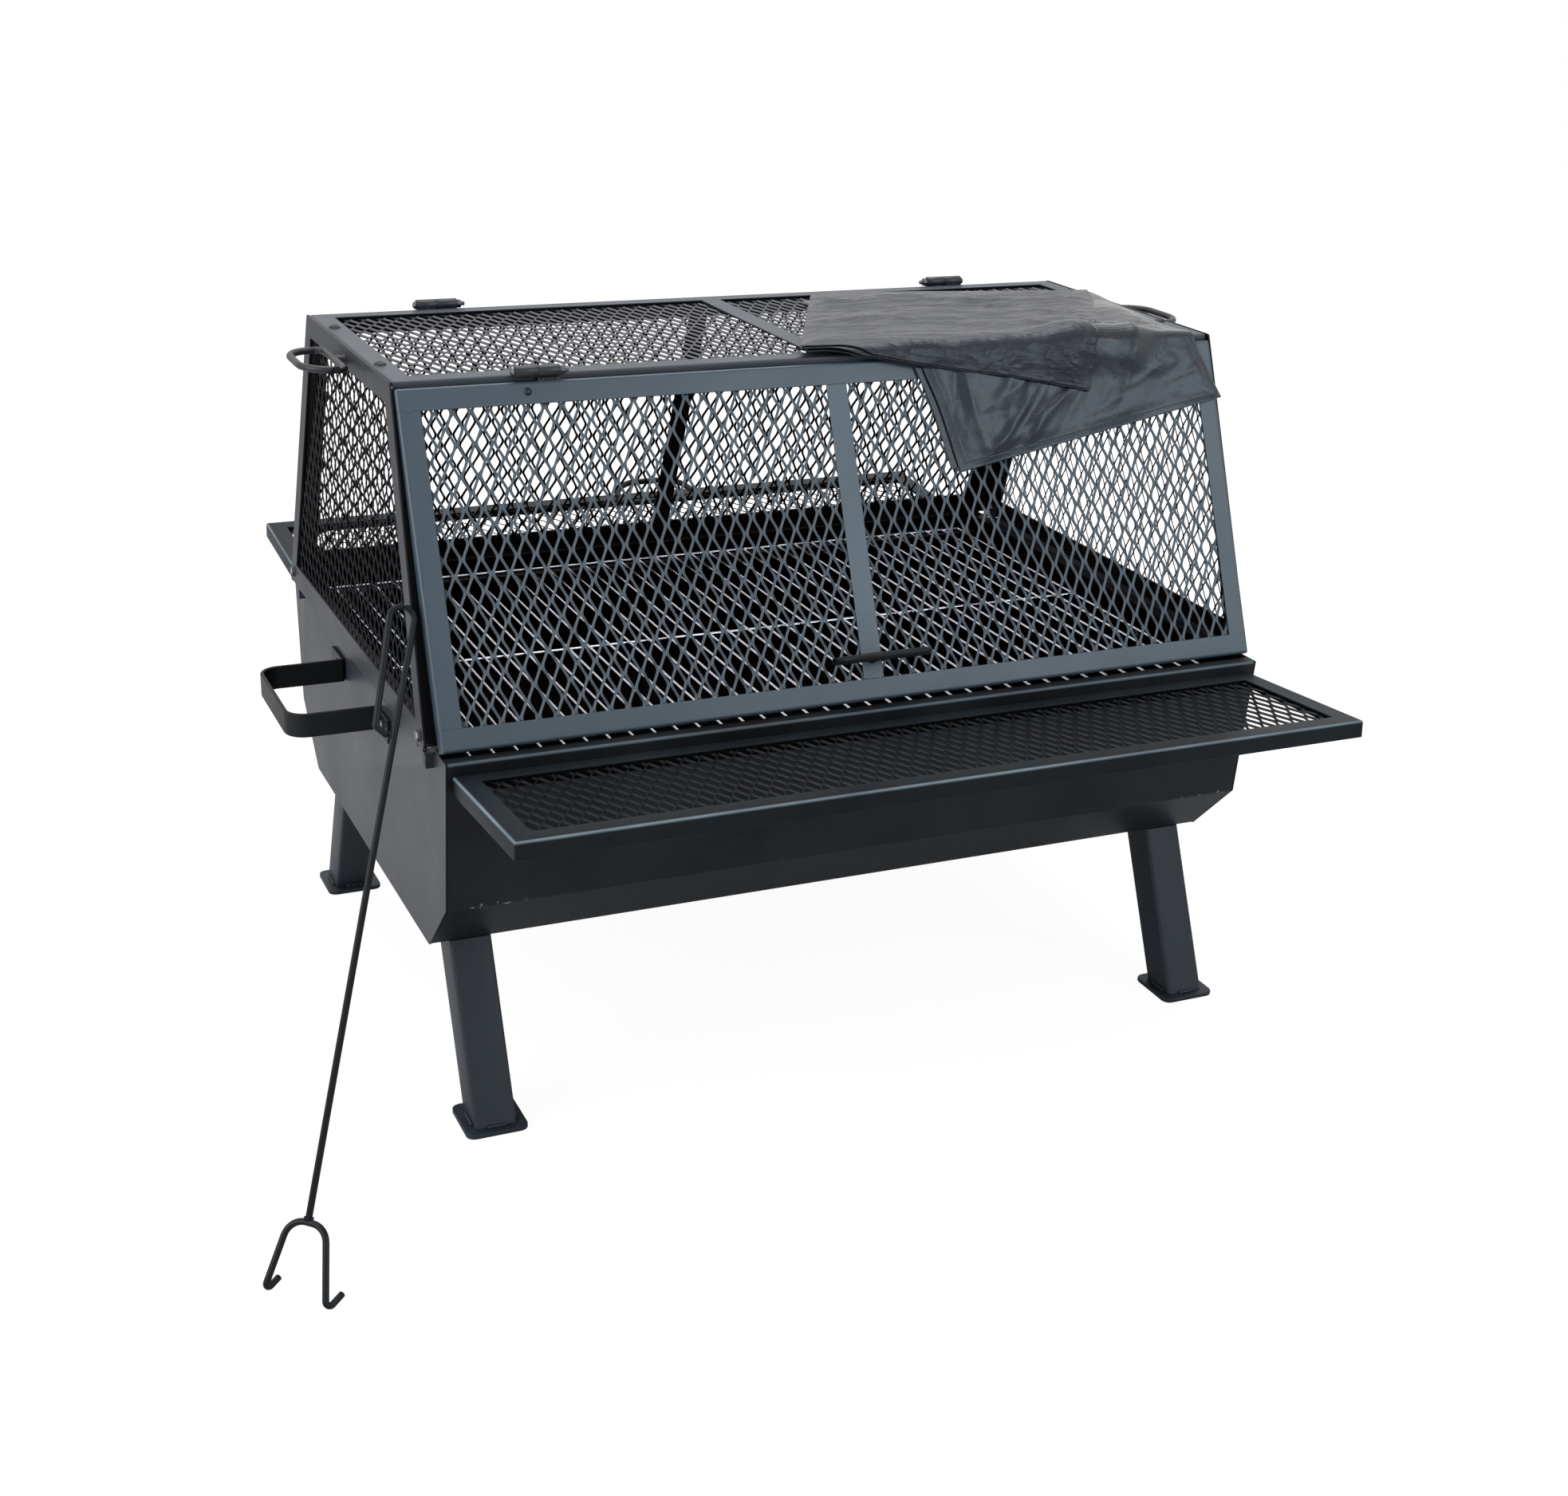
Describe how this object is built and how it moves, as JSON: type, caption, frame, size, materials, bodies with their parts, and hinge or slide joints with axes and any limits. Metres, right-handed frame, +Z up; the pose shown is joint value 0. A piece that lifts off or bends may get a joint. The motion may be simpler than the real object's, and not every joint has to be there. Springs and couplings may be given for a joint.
{
  "type": "fire pit",
  "caption": "Rectangular steel fire pit on splayed legs with a mesh hood whose doors open front and back, mesh shelves, a wire cooking grate, a leaning poker and a folded cover.",
  "frame": {"origin": "On the ground, under the middle of the bounding box of everything, the leaning poker included. The middle of the pit itself is 66.5 mm to the +X side and 17.6 mm to the +Y side of it.", "axes": "+X along the pit's length to the right seen from the front, +Y to the back, +Z up. The door that shows in front faces -Y."},
  "size_m": [1.24, 1.0938, 0.7546],
  "materials": {
    "slate_paint": "satin blue-grey high-temperature paint",
    "grey_paint": "satin warm grey high-temperature paint",
    "dark_paint": "satin black high-temperature paint",
    "chrome_wire": "bright plated wire",
    "zinc_fastener": "zinc plated",
    "steel_rod": "plain steel, slightly darkened",
    "cover_cloth": "black coated cloth, semi-gloss"
  },
  "bodies": {
    "pit": {"tub_trough": "slate_paint", "tub_end_left": "grey_paint", "tub_end_right": "grey_paint", "grate_ledge_front": "dark_paint", "grate_ledge_rear": "dark_paint", "leg_front_left": "slate_paint", "foot_plate_front_left": "slate_paint", "leg_rear_left": "slate_paint", "foot_plate_rear_left": "slate_paint", "leg_front_right": "slate_paint", "foot_plate_front_right": "slate_paint", "leg_rear_right": "slate_paint", "foot_plate_rear_right": "slate_paint", "side_handle_left": "dark_paint", "side_handle_right": "dark_paint", "shelf_frame_front": "slate_paint", "shelf_mesh_front": "slate_paint", "shelf_frame_rear": "slate_paint", "shelf_mesh_rear": "slate_paint", "hood_top_frame": "slate_paint", "hood_top_mesh": "slate_paint", "hood_top_strap": "slate_paint", "hood_end_frame_left": "grey_paint", "hood_end_mesh_left": "grey_paint", "end_ring_left": "grey_paint", "hood_end_frame_right": "grey_paint", "hood_end_mesh_right": "grey_paint", "end_ring_right": "grey_paint", "hinge_top_knuckle_front_left": "slate_paint", "hinge_bolt_front_left": "zinc_fastener", "hinge_top_knuckle_front_right": "slate_paint", "hinge_bolt_front_right": "zinc_fastener", "hinge_top_knuckle_rear_left": "slate_paint", "hinge_bolt_rear_left": "zinc_fastener", "hinge_top_knuckle_rear_right": "slate_paint", "hinge_bolt_rear_right": "zinc_fastener", "hood_bolt_front_left": "zinc_fastener", "handle_bolt_front_left": "zinc_fastener", "hood_bolt_rear_left": "zinc_fastener", "handle_bolt_rear_left": "zinc_fastener", "hood_bolt_rear_right": "zinc_fastener", "handle_bolt_rear_right": "zinc_fastener", "hood_bolt_front_right": "zinc_fastener", "handle_bolt_front_right": "zinc_fastener", "cover": "cover_cloth"},
    "front_door": {"front_door_frame": "slate_paint", "front_door_mesh": "slate_paint", "front_door_strap": "slate_paint", "front_door_handle": "slate_paint", "hinge_door_knuckle_front_left": "slate_paint", "hinge_door_knuckle_front_right": "slate_paint"},
    "rear_door": {"rear_door_frame": "slate_paint", "rear_door_mesh": "slate_paint", "rear_door_strap": "slate_paint", "rear_door_handle": "slate_paint", "hinge_door_knuckle_rear_left": "slate_paint", "hinge_door_knuckle_rear_right": "slate_paint"},
    "grate": {"cooking_grate": "chrome_wire"},
    "poker": {"poker": "steel_rod"}
  },
  "joints": [
    {"name": "front_door_hinge", "type": "hinge", "parent": "pit", "child": "front_door", "pos_m": [0.06653, -0.16345, 0.7415], "axis": [-1, 0, 0], "range_deg": [0, 160], "deforming": ["cover"]},
    {"name": "rear_door_hinge", "type": "hinge", "parent": "pit", "child": "rear_door", "pos_m": [0.06653, 0.19856, 0.7415], "axis": [1, 0, 0], "range_deg": [0, 160]},
    {"name": "grate_lift", "type": "slide", "parent": "pit", "child": "grate", "axis": [0, 0, 1], "range_m": [0, 0.012]},
    {"name": "poker_away", "type": "slide", "parent": "pit", "child": "poker", "axis": [-1, 0, 0], "range_m": [0, 0.25]}
  ]
}
